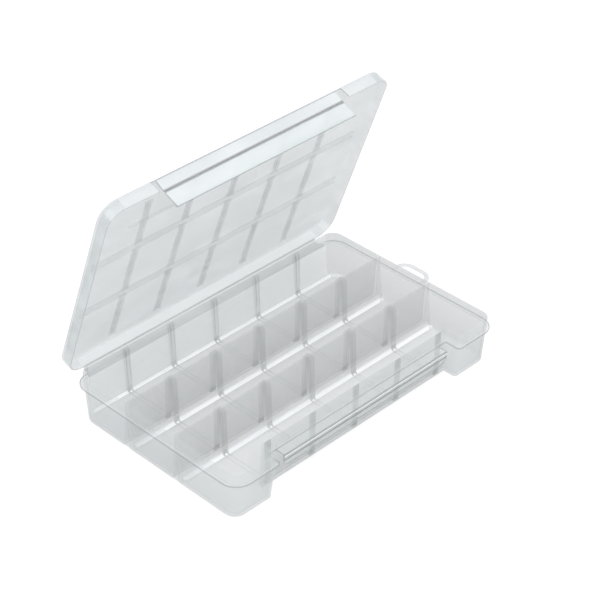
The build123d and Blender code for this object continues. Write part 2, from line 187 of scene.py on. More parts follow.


# What every finish shares unless its own entry says otherwise. Heights of painted light are millimetres.
plainLook = {
    "ior": 1.49, "roughness": 0.2, "scratchRoughness": 0.08, "edgeOpacity": 0.25, "edgePower": 5.0,
    "cloudiness": 0.1, "cloudSize": 16.0, "scratchSize": 240.0, "bump": 0.05, "bumpHeight": 0.4,
}
finishLooks = {
    "sheet": {
        "name": "clear sheet", "dark": (0.79, 0.835, 0.84), "light": (0.87, 0.915, 0.92),
        "opacity": 0.15,
    },
    "floor": {
        "name": "clear floor", "dark": (0.65, 0.68, 0.7), "light": (0.74, 0.77, 0.795), "opacity": 0.15,
        "cloudSize": 14.0,
    },
    "partition": {
        "name": "clear partition", "dark": (0.66, 0.665, 0.665), "light": (0.73, 0.735, 0.735),
        "opacity": 0.155, "cloudiness": 0.08, "cloudSize": 20.0,
    },
    # Copy of the partition finish with painted light: paler and denser towards the foot
    "paintedLightPartition": {
        "name": "clear partition with painted light at foot", "dark": (0.66, 0.665, 0.665),
        "light": (0.73, 0.735, 0.735), "opacity": 0.155, "cloudiness": 0.08, "cloudSize": 20.0,
        "paintedLightHeight": 13.0, "paintedLightFoot": 3.0, "paintedLightPower": 2.2, "paintedLightColour": (0.97, 0.98, 0.99),
        "paintedLightOpacity": 0.55,
    },
    # The lid plate's strong clouds are flow marks and painted soft reflections
    "lid": {
        "name": "clear lid plate with painted reflections", "dark": (0.46, 0.525, 0.555), "light": (0.88, 0.935, 0.96),
        "opacity": 0.18, "edgeOpacity": 0.2, "cloudiness": 0.06, "cloudSize": 80.0, "bump": 0.12,
    },
    # Paler, denser copy for the lid's front and back skirts and the latch strip: painted light
    "skirt": {
        "name": "lid skirt with painted light", "dark": (0.9, 0.92, 0.93), "light": (0.95, 0.97, 0.98),
        "opacity": 0.33, "edgeOpacity": 0.2, "cloudSize": 22.0,
    },
    "hinge": {
        "name": "folded hinge film", "dark": (0.385, 0.395, 0.395), "light": (0.47, 0.48, 0.48),
        "opacity": 0.42, "roughness": 0.3, "edgeOpacity": 0.15, "edgePower": 4.0, "cloudiness": 0.3,
        "cloudSize": 40.0, "scratchSize": 300.0,
    },
    "edge": {
        "name": "clear cut edge", "dark": (0.22, 0.24, 0.24), "light": (0.34, 0.36, 0.36),
        "opacity": 0.42, "roughness": 0.22, "edgeOpacity": 0.3, "edgePower": 3.0, "cloudiness": 0.2,
        "cloudSize": 30.0, "scratchSize": 300.0,
    },
    # Slot ribs get painted light, paler and denser towards the foot
    "rib": {
        "name": "clear slot rib with painted light at foot", "dark": (0.28, 0.29, 0.285), "light": (0.4, 0.41, 0.405),
        "opacity": 0.07, "roughness": 0.25, "edgeOpacity": 0.3, "edgePower": 2.2, "cloudiness": 0.2,
        "cloudSize": 60.0, "scratchSize": 300.0, "bump": 0.04, "paintedLightHeight": 6.5, "paintedLightFoot": 3.0,
        "paintedLightPower": 1.4, "paintedLightColour": (0.56, 0.575, 0.58), "paintedLightOpacity": 0.34,
    },
    # Painted highlight on the foot fillet that faces the front and on the bead under the catch shelf
    "fillet": {
        "name": "foot fillet with painted highlight", "dark": (0.93, 0.95, 0.96), "light": (0.98, 0.99, 1.0),
        "opacity": 0.9, "roughness": 0.12, "edgeOpacity": 0.1, "edgePower": 2.0, "cloudiness": 0.05,
        "cloudSize": 60.0, "scratchSize": 300.0, "bump": 0.04,
    },
    # Paler, denser finish of the latch flap and strip: painted light
    "latch": {
        "name": "latch flap with painted light", "dark": (0.84, 0.89, 0.9), "light": (0.95, 0.99, 1.0),
        "opacity": 0.52, "roughness": 0.18, "edgeOpacity": 0.3, "edgePower": 3.0, "cloudiness": 0.2,
        "cloudSize": 22.0, "scratchSize": 200.0,
    },
    # Darker copy of the sheet: painted shade on the right wall, the recess wall and the right partition ends
    "paintedShade": {
        "name": "clear sheet with painted shading", "dark": (0.51, 0.54, 0.545), "light": (0.58, 0.61, 0.615),
        "opacity": 0.15, "cloudiness": 0.08,
    },
    "seam": {
        "name": "clear seam", "dark": (0.74, 0.76, 0.76), "light": (0.84, 0.86, 0.86), "opacity": 0.03,
        "edgeOpacity": 0.02, "cloudiness": 0.08,
    },
    # Paler, denser copy of the sheet for the back wall: painted light
    "back": {
        "name": "clear back wall with painted light", "dark": (0.94, 0.96, 0.97), "light": (0.98, 1.0, 1.0),
        "opacity": 0.37, "edgeOpacity": 0.2, "cloudiness": 0.08, "cloudSize": 22.0,
    },
    # Paler copy of the floor for the front bay: painted light
    "frontFloor": {
        "name": "clear front floor with painted light", "dark": (0.9, 0.93, 0.95), "light": (0.97, 0.99, 1.0),
        "opacity": 0.19, "cloudSize": 14.0,
    },
    "lidEdge": {
        "name": "clear lid edge", "dark": (0.4, 0.42, 0.42), "light": (0.54, 0.56, 0.56),
        "opacity": 0.25, "roughness": 0.22, "edgeOpacity": 0.2, "edgePower": 3.0, "cloudiness": 0.2,
        "cloudSize": 30.0, "scratchSize": 300.0,
    },
    # Painted highlight where the foot fillet turns its corners and in the middle of the lid's corners
    "paintedCornerHighlight": {
        "name": "corner fillet with painted highlight", "dark": (0.9, 0.93, 0.94), "light": (0.97, 0.99, 1.0),
        "opacity": 0.4, "roughness": 0.15, "edgeOpacity": 0.1, "edgePower": 2.0, "cloudSize": 60.0,
        "scratchSize": 300.0, "bump": 0.04,
    },
    "film": {
        "name": "thin hinge line", "dark": (0.5, 0.515, 0.52), "light": (0.6, 0.615, 0.62),
        "opacity": 0.2, "roughness": 0.3, "edgeOpacity": 0.15, "edgePower": 4.0, "cloudiness": 0.2,
        "cloudSize": 40.0, "scratchSize": 300.0,
    },
    "frontRib": {
        "name": "clear front slot rib", "dark": (0.26, 0.27, 0.265), "light": (0.36, 0.37, 0.365),
        "opacity": 0.14, "roughness": 0.25, "edgeOpacity": 0.3, "edgePower": 2.2, "cloudiness": 0.2,
        "cloudSize": 60.0, "scratchSize": 300.0, "bump": 0.04,
    },
    "lidRib": {
        "name": "clear lid rib", "dark": (0.36, 0.38, 0.385), "light": (0.58, 0.6, 0.605),
        "opacity": 0.065, "edgeOpacity": 0.38, "edgePower": 2.2, "cloudiness": 0.4, "cloudSize": 150.0,
        "scratchSize": 300.0,
    },
    "crossRib": {
        "name": "clear cross rib", "dark": (0.38, 0.4, 0.405), "light": (0.58, 0.6, 0.605),
        "opacity": 0.05, "edgeOpacity": 0.4, "edgePower": 2.2, "cloudiness": 0.35, "cloudSize": 90.0,
        "scratchSize": 300.0,
    },
    "lowRib": {
        "name": "clear low rib", "dark": (0.56, 0.58, 0.58), "light": (0.7, 0.72, 0.72),
        "opacity": 0.045, "edgeOpacity": 0.2, "edgePower": 2.5, "cloudiness": 0.2, "cloudSize": 40.0,
        "scratchSize": 300.0, "bump": 0.04,
    },
    "loop": {
        "name": "clear hanging loop", "dark": (0.56, 0.58, 0.58), "light": (0.68, 0.7, 0.7),
        "opacity": 0.06, "edgeOpacity": 0.4, "edgePower": 2.0, "cloudiness": 0.15, "cloudSize": 60.0,
        "scratchSize": 300.0,
    },
}
finishes = {key: clearPlastic({**plainLook, **look}) for key, look in finishLooks.items()}
print("finishes made:", len(finishes))


# A shell is (points, faces, finish of each face), in millimetres
def stackRings(rings, finishOfBand, closed=True, looped=False):
    count = len(rings[0])
    points = [p for ring in rings for p in ring]
    faces, kinds = [], []
    bands = len(rings) if looped else len(rings) - 1
    for r in range(bands):
        low, high = r * count, (r + 1) % len(rings) * count
        for i in range(count if closed else count - 1):
            j = (i + 1) % count
            faces.append((low + i, low + j, high + j, high + i))
            kinds.append(finishOfBand(r, i) if callable(finishOfBand) else finishOfBand[r])
    return points, faces, kinds


def addFace(shell, corners, kind):
    points, faces, kinds = shell
    start = len(points)
    points.extend(corners)
    faces.append(tuple(range(start, start + len(corners))))
    kinds.append(kind)


# A section (y, z) drawn out along X from -side to side, with one finish or one for each face
def alongX(section, side, sideKinds, endKind):
    return betweenEnds(section, -side, side, sideKinds, endKind)


def betweenEnds(section, x0, x1, sideKinds, endKind):
    count = len(section)
    if isinstance(sideKinds, str):
        sideKinds = [sideKinds] * count
    rings = [[(x, y, z) for y, z in section] for x in (x0, x1)]
    points, faces, kinds = stackRings(rings, lambda band, i: sideKinds[i])
    faces += [tuple(range(count)), tuple(range(count, 2 * count))]
    kinds += [endKind, endKind]
    return points, faces, kinds


def boxSection(y0, y1, z0, z1):
    return [(y0, z0), (y1, z0), (y1, z1), (y0, z1)]


def arcPoints(centre, radius, start, end, steps):
    return [
        (centre[0] + radius * math.cos(math.radians(start + (end - start) * k / steps)),
         centre[1] + radius * math.sin(math.radians(start + (end - start) * k / steps)))
        for k in range(steps + 1)
    ]


def circlePoints(centre, radius, count):
    return arcPoints(centre, radius, 0, 360 * (count - 1) / count, count - 1)


def quarterTurn(steps):
    return [math.radians(90 * k / steps) for k in range(steps + 1)]


cornerSteps = 6


# Corners (x, y, radius) become arcs of equal point count, so that outlines of different height match
def roundedPath(corners, steps=cornerSteps, closed=True):
    path = []
    last = len(corners) - 1
    for i, (x, y, radius) in enumerate(corners):
        here = Vector((x, y))
        if not closed and i in (0, last):
            path.append(here)
            continue
        before = (Vector(corners[i - 1][:2]) - here).normalized()
        after = (Vector(corners[(i + 1) % len(corners)][:2]) - here).normalized()
        half = before.angle(after) / 2
        centre = here + (before + after).normalized() * (radius / math.sin(half))
        start = here + before * (radius / math.tan(half)) - centre
        end = here + after * (radius / math.tan(half)) - centre
        sweep = start.angle(end)
        for k in range(steps + 1):
            share = k / steps
            first = math.sin((1 - share) * sweep) / math.sin(sweep)
            second = math.sin(share * sweep) / math.sin(sweep)
            path.append(centre + start * first + end * second)
    return path


# Distances in millimetres, the angle in degrees
meshing = {"weld": 0.004, "ribWeld": 0.002, "smoothAngle": 32}


def weld(shape, distance):
    bmesh.ops.remove_doubles(shape, verts=shape.verts, dist=distance * mm)
    bmesh.ops.recalc_face_normals(shape, faces=shape.faces)


def makePiece(name, shells, body, replaced, turn=None):
    points, faces, kinds = [], [], []
    for shellPoints, shellFaces, shellKinds in shells:
        start = len(points)
        points += [Vector(p) * mm for p in shellPoints]
        faces += [tuple(start + i for i in face) for face in shellFaces]
        kinds += shellKinds
    mesh = bpy.data.meshes.new(name)
    mesh.from_pydata(points, [], faces)
    used = [kind for kind in finishes if kind in kinds]
    for kind in used:
        mesh.materials.append(finishes[kind])
    for polygon, kind in zip(mesh.polygons, kinds):
        polygon.material_index = used.index(kind)
    cleaned = bmesh.new()
    cleaned.from_mesh(mesh)
    weld(cleaned, meshing["weld"])
    cleaned.to_mesh(mesh)
    cleaned.free()
    if turn is not None:
        mesh.transform(turn)
    placePiece(name, mesh, body, replaced)


def placePiece(name, mesh, body, replaced):
    mesh.shade_smooth()
    mesh.set_sharp_from_angle(angle=math.radians(meshing["smoothAngle"]))
    piece = bpy.data.objects.new(name, mesh)
    bpy.context.scene.collection.objects.link(piece)
    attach(piece, body)
    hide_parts(*replaced)


# Lengths in millimetres. A lean is how far a wall's top stands away from its foot.
trayShape = {
    "side": 133.5, "wall": 1.3, "floor": 1.1, "top": 41.0, "rimRounding": 0.35, "footFillet": 2.6,
    "filletSteps": 6, "paintedHighlightSteps": (1, 2, 3, 4), "lowerEdge": 0.9, "edgeSteps": 4,
    "outerCorner": 8.7, "leastOuterCorner": 0.4,
    "partitionCorner": 2.0, "recessCorner": 1.7, "leastCorner": 0.3, "recessInnerCorner": 0.6,
    "leastInnerCorner": 0.1, "backWall": 80.3, "backLean": 3.4, "pocketWall": -81.1, "frontLean": 3.8,
    "recessWall": -69.3, "recessLean": 1.4, "recessSide": 99.0, "recessSideLean": 1.6,
    "partitions": (31.875, -20.875), "partitionHalf": 4.325, "partitionLean": 3.025,
    "endTip": 0.06, "endDrop": 1.0,
}


def leanShare(z):
    return max(0.0, (z - trayShape["floor"]) / (trayShape["top"] - trayShape["floor"]))


# Inner outline of a bay at height z. A positive inset draws it in, and a negative one is for the
# wall's outer face.
def bayOutline(bay, z, inset):
    s = trayShape
    t = leanShare(z)
    side = s["side"] - inset
    outer = max(s["outerCorner"] - inset, s["leastOuterCorner"])
    inner = s["partitionCorner"] if inset >= 0 else s["leastCorner"]
    if bay == 0:
        back, backRadius = s["backWall"] + s["backLean"] * t - inset, outer
    else:
        back = s["partitions"][bay - 1] - s["partitionHalf"] + s["partitionLean"] * t - inset
        backRadius = inner
    if bay < 2:
        front = s["partitions"][bay] + s["partitionHalf"] - s["partitionLean"] * t + inset
        corners = [(-side, front, inner), (side, front, inner)]
    else:
        pocket = s["pocketWall"] - s["frontLean"] * t + inset
        recess = s["recessWall"] - s["recessLean"] * t + inset
        recessSide = s["recessSide"] - s["recessSideLean"] * t + inset
        pocketCorner = max(s["recessCorner"] - inset, s["leastCorner"])
        recessCorner = max(s["recessInnerCorner"] + inset, s["leastInnerCorner"])
        corners = [
            (-side, pocket, outer), (-recessSide, pocket, pocketCorner), (-recessSide, recess, recessCorner),
            (recessSide, recess, recessCorner), (recessSide, pocket, pocketCorner), (side, pocket, outer),
        ]
    corners += [(side, back, backRadius), (-side, back, backRadius)]
    return [(p.x, p.y, z) for p in roundedPath(corners)]


# Each bay is one closed shell: floor, foot fillets, leaning walls, rounded rim and lower edge
def bayShell(bay):
    s = trayShape
    fillet, wall, lower, rim = s["footFillet"], s["wall"], s["lowerEdge"], s["rimRounding"]
    levels, kinds = [], []
    # Fillet levels in the highlight steps carry a painted highlight; the rest, and the wall, a partition's
    # painted light at its foot
    for k, a in enumerate(quarterTurn(s["filletSteps"])):
        levels.append((s["floor"] + fillet * (1 - math.cos(a)), fillet * (1 - math.sin(a))))
        kinds.append("foot" if k in s["paintedHighlightSteps"] else "lit")
    levels += [(s["top"] - rim, 0), (s["top"], -rim), (s["top"], rim - wall), (s["top"] - rim, -wall)]
    kinds += ["side"] * 4
    for a in quarterTurn(s["edgeSteps"]):
        levels.append((lower * (1 - math.sin(a)), -wall + lower * (1 - math.cos(a))))
        kinds.append("side")
    rings = [bayOutline(bay, z, inset) for z, inset in levels]

    # Numbers of the straight runs in a ring
    perCorner = cornerSteps + 1
    backRun = len(rings[0]) - perCorner - 1
    frontRun, rightRun = perCorner - 1, backRun - perCorner
    recessRun = 3 * perCorner - 1 if bay == 2 else None

    # The foot fillet that faces the front gets a painted highlight, which fades round its corners.
    # Partitions and the back wall have finishes of their own with painted light, and the recess wall and the
    # right wall have painted shade.
    def kindAt(band, i):
        fromBack = abs(i - backRun)
        if kinds[band] == "foot" and fromBack <= (1 if bay == 0 else 0):
            return "fillet"
        if kinds[band] == "foot" and fromBack <= cornerSteps:
            return "paintedCornerHighlight"
        if fromBack == 0 and bay == 0:
            return "back"
        if fromBack == 0:
            return "paintedLightPartition" if kinds[band] == "lit" else "partition"
        if bay < 2 and i == frontRun:
            return "partition"
        return "paintedShade" if i == recessRun or abs(i - rightRun) <= cornerSteps else "sheet"

    shell = stackRings(rings, kindAt)
    floorFinish = "frontFloor" if bay == 2 else "floor"
    addFace(shell, list(reversed(rings[0])), floorFinish)
    addFace(shell, rings[-1], floorFinish)
    return shell


bayNodes = [
    ["floor_bay_1", "wall_back", "corner_back_left", "corner_back_right"],
    ["floor_bay_2", "wall_left", "wall_right", "partition_1", "partition_2"],
    ["floor_bay_3", "pocket_floor_left", "pocket_floor_right", "wall_recess", "recess_side_left",
     "recess_side_right", "wall_front_left", "wall_front_right", "corner_front_left", "corner_front_right"],
]
for bay, name in enumerate(("back_bay", "middle_bay", "front_bay")):
    makePiece(name, [bayShell(bay)], "tray", bayNodes[bay])


# Side wall between two bays, where a hollow partition ends
def partitionEnd(y, side):
    s = trayShape
    half, tip, tipHeight = s["partitionHalf"] - s["wall"], s["endTip"], s["top"] - s["endDrop"]
    section = [(y - half, s["floor"]), (y + half, s["floor"]), (y + tip, tipHeight), (y - tip, tipHeight)]
    x0, x1 = sorted((side * s["side"], side * (s["side"] + s["wall"])))
    # The right-hand partition ends get painted shade
    return betweenEnds(section, x0, x1, "seam", "paintedShade" if side > 0 else "sheet")


partitionEnds = [partitionEnd(y, side) for y in trayShape["partitions"] for side in (-1, 1)]
makePiece("partition_ends", partitionEnds, "tray", [])
print("tray shells made")

# The bevel's rise and inset are shares of the edge rounding. Root corners are those of the inner edge.
flangeShape = {
    "low": 30.7, "high": 31.9, "side": 138.2, "front": 88.15, "corner": 14.3, "recessSide": 94.1,
    "recessFront": -74.24, "recessCorner": 3.0, "recessInnerCorner": 0.5, "edgeRounding": 0.45,
    "bevelRise": 0.4, "bevelInset": 0.15, "rootCorner": 10.0, "rootRecessCorner": 3.0,
    "rootInnerCorner": 0.1,
}


def flangeOutline(z, inset):
    f = flangeShape
    side, front, corner = f["side"] - inset, f["front"] - inset, f["corner"] - inset
    recess, recessFront = f["recessSide"] + inset, f["recessFront"] + inset
    outside, inside = f["recessCorner"], f["recessInnerCorner"]
    corners = [
        (-side, -front, corner), (-recess, -front, outside), (-recess, recessFront, inside),
        (recess, recessFront, inside), (recess, -front, outside), (side, -front, corner),
        (side, front, corner), (-side, front, corner),
    ]
    return [(p.x, p.y, z) for p in roundedPath(corners)]


# The flange's inner edge, which runs inside the walls
def wallOutline(z):
    s, f = trayShape, flangeShape
    t = leanShare(z)
    side = s["side"] + s["wall"]
    front = s["pocketWall"] - s["wall"] - s["frontLean"] * t
    recess = s["recessWall"] - s["wall"] - s["recessLean"] * t
    recessSide = s["recessSide"] - s["wall"] - s["recessSideLean"] * t
    back = s["backWall"] + s["wall"] + s["backLean"] * t
    corner, outside, inside = f["rootCorner"], f["rootRecessCorner"], f["rootInnerCorner"]
    corners = [
        (-side, front, corner), (-recessSide, front, outside), (-recessSide, recess, inside),
        (recessSide, recess, inside), (recessSide, front, outside), (side, front, corner),
        (side, back, corner), (-side, back, corner),
    ]
    return [(p.x, p.y, z) for p in roundedPath(corners)]


def flangeShell():
    f = flangeShape
    low, high, edge = f["low"], f["high"], f["edgeRounding"]
    rise = edge * f["bevelRise"]
    rings = [
        wallOutline(low), flangeOutline(low, edge), flangeOutline(low + rise, edge * f["bevelInset"]),
        flangeOutline(high - rise, 0), flangeOutline(high, edge), wallOutline(high),
    ]
    kinds = ["sheet", "edge", "edge", "edge", "sheet", "sheet"]
    backRun = len(rings[0]) - cornerSteps - 2
    return stackRings(rings, lambda band, i: "hinge" if i == backRun else kinds[band], looped=True)


makePiece("tray_flange", [flangeShell()], "tray", [
    "flange_back", "flange_left", "flange_right", "flange_corner_back_left", "flange_corner_back_right",
    "flange_corner_front_left", "flange_corner_front_right", "flange_front_left", "flange_front_right",
    "flange_return_left", "flange_return_right",
])

catchShape = {
    "side": 86.0, "shelfFront": -83.12, "shelfBack": -74.24, "low": 30.7, "high": 31.9,
    "lipFront": -82.62, "lipSkin": 1.2, "lipFoot": 21.0, "lipCorner": 5.5, "lipHeadCorner": 0.05,
    "bead": 0.5, "beadSides": 12, "beadHeights": (29.6, 26.6),
}


def catchShells():
    c = catchShape
    side, low, high = c["side"], c["low"], c["high"]
    shelf = alongX(
        boxSection(c["shelfFront"], c["shelfBack"], low, high), side,
        ["sheet", "sheet", "sheet", "edge"], "edge",
    )
    # The lip's outline in X and Z, with rounded lower corners
    foot, corner, headCorner = c["lipFoot"], c["lipCorner"], c["lipHeadCorner"]
    outline = roundedPath([
        (-side, low, headCorner), (-side, foot, corner), (side, foot, corner), (side, low, headCorner),
    ])
    front, back = c["lipFront"], c["lipFront"] + c["lipSkin"]
    rings = [[(p.x, y, p.y) for p in outline] for y in (front, back)]
    lip = stackRings(rings, ["edge"])
    addFace(lip, rings[0], "sheet")
    addFace(lip, rings[1], "sheet")
    # A bead under the shelf with a painted highlight, and a dark one below it
    beads = [
        alongX(circlePoints((front, z), c["bead"], c["beadSides"]), side, kind, "edge")
        for z, kind in zip(c["beadHeights"], ("fillet", "edge"))
    ]
    return [shelf, lip] + beads


makePiece("catch_rail", catchShells(), "tray", ["catch_shelf", "catch_lip"])

# lidLeaf is y0, y1, z0 and z1 from the axis, in the closed lid
hingeShape = {
    "side": 122.0, "leafBack": 88.15, "leafLow": 30.7, "leafHigh": 31.9, "axis": (92.8, 32.2),
    "film": 0.5, "filmSides": 12, "lidLeaf": (-2.9, -0.8, 0.3, 1.5),
}


def hingeBar(section, kind):
    return alongX(section, hingeShape["side"], kind, kind)


def trayHingeShells():
    h = hingeShape
    leaf = boxSection(h["leafBack"], h["axis"][0], h["leafLow"], h["leafHigh"])
    film = circlePoints(h["axis"], h["film"], h["filmSides"])
    return [hingeBar(leaf, "hinge"), hingeBar(film, "film")]


makePiece("tray_hinge", trayHingeShells(), "tray", ["tray_hinge_leaf"])
print("flange, catch and hinge made")

# The lid and the latch are drawn closed, from the hinge axis, and turned open as in the photo
lidShape = {
    "openAngle": 69.65, "side": 138.9, "front": -182.7, "back": -2.9, "notchSide": 93.3,
    "notchDepth": 1.5, "skirtFoot": 0.3, "under": 9.95, "top": 11.05, "skirt": 1.2, "corner": 15.0,
    "cornerSteps": 8, "topRounding": 1.5, "innerFillet": 1.6, "roundSteps": 4,
}
openAngle = math.radians(lidShape["openAngle"])
lidTurn = Matrix((
    (1, 0, 0, 0),
    (0, math.cos(openAngle), math.sin(openAngle), hingeShape["axis"][0] * mm),
    (0, -math.sin(openAngle), math.cos(openAngle), hingeShape["axis"][1] * mm),
    (0, 0, 0, 1),
))


# The skirt runs from one end of the latch notch round the back to the other
def skirtPath(z, inset):
    s = lidShape
    side, front, back, corner = s["side"] - inset, s["front"] + inset, s["back"] - inset, s["corner"] - inset
    corners = [
        (s["notchSide"], front, 0), (side, front, corner), (side, back, corner),
        (-side, back, corner), (-side, front, corner), (-s["notchSide"], front, 0),
    ]
    return [(p.x, p.y, z) for p in roundedPath(corners, steps=s["cornerSteps"], closed=False)]


def lidShells():
    s = lidShape
    fillet, skirt, rounding = s["innerFillet"], s["skirt"], s["topRounding"]
    under, top, foot = s["under"], s["top"], s["skirtFoot"]
    arc = quarterTurn(s["roundSteps"])
    levels = [(under - fillet * (1 - math.cos(a)), skirt + fillet * (1 - math.sin(a))) for a in arc]
    levels += [(foot, skirt), (foot, 0)]
    levels += [(top - rounding * (1 - math.sin(a)), rounding * (1 - math.cos(a))) for a in arc]
    levels.append((top, skirt + fillet))
    rings = [skirtPath(z, inset) for z, inset in levels]
    innerFace, footEdge, outerFace = range(len(arc) - 1, len(arc) + 2)
    perCorner = s["cornerSteps"] + 1
    middleOfCorner = (perCorner // 2 - 1, perCorner // 2)

    # The front and back skirts, which face up while the lid is open, are a paler copy with painted light,
    # and the middle of each rounded corner has a painted highlight
    def kindAt(band, i):
        if band == innerFace and i > 0 and (i - 1) % perCorner in middleOfCorner:
            return "paintedCornerHighlight"
        if band in (innerFace, outerFace) and i % (2 * perCorner) == 0:
            return "skirt"
        return "lidEdge" if band == footEdge else "lid"

    shell = stackRings(rings, kindAt, closed=False)
    # Skirt ends beside the notch
    notchSide, notch = s["notchSide"], s["front"] + s["notchDepth"]
    for end in (0, -1):
        corners = [ring[end] for ring in rings[:-1]] + [(rings[0][end][0], notch, under)]
        addFace(shell, corners, "edge")
    # Plate between the skirts, set back along the notch
    for ring, z in ((rings[-1], top), (rings[0], under)):
        addFace(shell, list(ring) + [(-notchSide, notch, z), (notchSide, notch, z)], "lid")
    addFace(shell, [(-notchSide, notch, under), (notchSide, notch, under),
                    (notchSide, notch, top), (-notchSide, notch, top)], "edge")
    return [shell]


makePiece("lid_shell", lidShells(), "lid", [
    "lid_plate", "lid_skirt_back", "lid_skirt_left", "lid_skirt_right", "lid_skirt_front_left",
    "lid_skirt_front_right", "lid_corner_back_left", "lid_corner_back_right", "lid_corner_front_left",
    "lid_corner_front_right",
], turn=lidTurn)

lidLeaf = hingeBar(boxSection(*hingeShape["lidLeaf"]), "film")
makePiece("lid_hinge", [lidLeaf], "lid", ["lid_hinge_leaf"], turn=lidTurn)

# Fold shares say how much of the strip and of the flap is shaded beside the hinge line
latchShape = {
    "side": 88.3, "skin": 1.2, "stripTop": (-180.99, 9.95), "stripFoot": (-179.315, 1.2),
    "axis": (-178.9, 0.6), "film": 0.3, "filmSides": 8, "flapHead": (-179.2, 0.0),
    "flapFoot": (-178.4, -14.0), "stripFold": 0.1, "flapFold": 0.07, "bead": (-177.27, -12.8),
    "beadRadius": 0.9, "beadArc": (-75, 105), "beadSteps": 8,
}


def between(start, end, share):
    return tuple(a + (b - a) * share for a, b in zip(start, end))


def stripShells():
    c = latchShape
    side, skin, film = c["side"], c["skin"], c["film"]
    top, foot, (y, z) = c["stripTop"], c["stripFoot"], c["axis"]
    fold = between(foot, top, c["stripFold"])
    section = [top, fold, foot, (foot[0] + skin, foot[1]), (top[0] + skin, top[1])]
    # The strip's latch and skirt faces carry painted light
    strip = alongX(section, side, ["latch", "hinge", "hinge", "skirt", "skirt"], "edge")
    web = alongX(boxSection(y - film, y + film, z, foot[1]), side, "edge", "edge")
    line = alongX(circlePoints((y, z), film, c["filmSides"]), side, "hinge", "edge")
    return [strip, web, line]


def flapShells():
    c = latchShape
    side, skin, head, foot = c["side"], c["skin"], c["flapHead"], c["flapFoot"]
    fold = between(head, foot, c["flapFold"])
    section = [head, (head[0] + skin, head[1]), (foot[0] + skin, foot[1]), foot, fold]
    # The flap's latch faces carry painted light
    flap = alongX(section, side, ["hinge", "latch", "edge", "latch", "hinge"], "edge")
    bead = arcPoints(c["bead"], c["beadRadius"], *c["beadArc"], c["beadSteps"])
    return [flap, alongX(bead, side, "latch", "edge")]


makePiece("latch_strip", stripShells(), "lid", ["latch_strip"], turn=lidTurn)
makePiece("latch_flap", flapShells(), "latch", ["latch_flap", "latch_bead"], turn=lidTurn)
print("lid and latch made")


# A tree for meshFromTree: what it takes and gives as geometry, and its other inputs by name and kind
def startTree(name, takes, gives, settings):
    tree = bpy.data.node_groups.new(name, "GeometryNodeTree")
    if takes:
        addSocket(tree, takes, "Geometry")
    inputs = {label: addSocket(tree, label, kind).identifier for label, kind in settings.items()}
    addSocket(tree, gives, "Geometry", "OUTPUT")
    return tree, inputs, tree.nodes.new("NodeGroupInput").outputs


# Every tree ends with real geometry in its finish
def endTree(tree, given, geometry, gives):
    solid = addNode(tree, "GeometryNodeRealizeInstances", {"Geometry": geometry})
    finish = addNode(tree, "GeometryNodeSetMaterial", {
        "Geometry": solid.outputs["Geometry"], "Material": given["Finish"],
    })
    addNode(tree, "NodeGroupOutput", {gives: finish.outputs["Geometry"]})


def sweptBar(tree, given, curve, roundSteps):
    section = addNode(tree, "GeometryNodeCurvePrimitiveQuadrilateral", {
        "Width": given["Width"], "Height": given["Depth"],
    })
    softened = tree.nodes.new("GeometryNodeFilletCurve")
    softened.mode = "POLY"
    fillInputs(softened, {
        "Curve": section.outputs["Curve"], "Radius": given["Rounding"], "Count": roundSteps,
    })
    bar = addNode(tree, "GeometryNodeCurveToMesh", {
        "Curve": curve, "Profile Curve": softened.outputs["Curve"], "Fill Caps": True,
    })
    return bar.outputs["Mesh"]


# Copies of a shape in a row that is centred on the origin
def centredRow(tree, given, shape):
    half = addNode(tree, "ShaderNodeMath", {0: given["Count"], 1: -0.5, 2: 0.5}, operation="MULTIPLY_ADD")
    first = addNode(tree, "ShaderNodeVectorMath", {
        0: given["Step"], "Scale": half.outputs["Value"],
    }, operation="SCALE")
    row = addNode(tree, "GeometryNodeMeshLine", {
        "Count": given["Count"], "Start Location": first.outputs["Vector"], "Offset": given["Step"],
    })
    copies = addNode(tree, "GeometryNodeInstanceOnPoints", {
        "Points": row.outputs["Mesh"], "Instance": shape,
    })
    return copies.outputs["Instances"]


# Pairs of ribs repeated in a row: one rib follows a line from start to end, with a rounded section
def makeRibRowTree():
    tree, inputs, given = startTree("rib rows", None, "Ribs", {
        "Count": "Int", "Step": "Vector", "Half Spread": "Vector", "Start": "Vector", "End": "Vector",
        "Width": "Float", "Depth": "Float", "Rounding": "Float", "Finish": "Material",
    })
    line = addNode(tree, "GeometryNodeCurvePrimitiveLine", {"Start": given["Start"], "End": given["End"]})
    rib = sweptBar(tree, given, line.outputs["Curve"], roundSteps=2)
    pair = tree.nodes.new("GeometryNodeJoinGeometry")
    for sign in (-1, 1):
        away = addNode(tree, "ShaderNodeVectorMath", {
            0: given["Half Spread"], "Scale": sign,
        }, operation="SCALE")
        moved = addNode(tree, "GeometryNodeTransform", {
            "Geometry": rib, "Translation": away.outputs["Vector"],
        })
        fillInputs(pair, {"Geometry": moved.outputs["Geometry"]})
    endTree(tree, given, centredRow(tree, given, pair.outputs["Geometry"]), "Ribs")
    return tree, inputs


# The piece's own shape repeated in a row
def makeRowTree():
    tree, inputs, given = startTree("row of slots", "Shape", "Row", {
        "Count": "Int", "Step": "Vector", "Finish": "Material",
    })
    endTree(tree, given, centredRow(tree, given, given["Shape"]), "Row")
    return tree, inputs


# A flat bar with a rounded section swept along the piece's own path
def makeBarTree():
    tree, inputs, given = startTree("bar along path", "Path", "Bar", {
        "Width": "Float", "Depth": "Float", "Rounding": "Float", "Finish": "Material",
    })
    path = addNode(tree, "GeometryNodeMeshToCurve", {"Mesh": given["Path"]})
    bar = sweptBar(tree, given, path.outputs["Curve"], roundSteps=3)
    endTree(tree, given, bar, "Bar")
    return tree, inputs


ribRow, barAlongPath, rowOfSlots = makeRibRowTree(), makeBarTree(), makeRowTree()


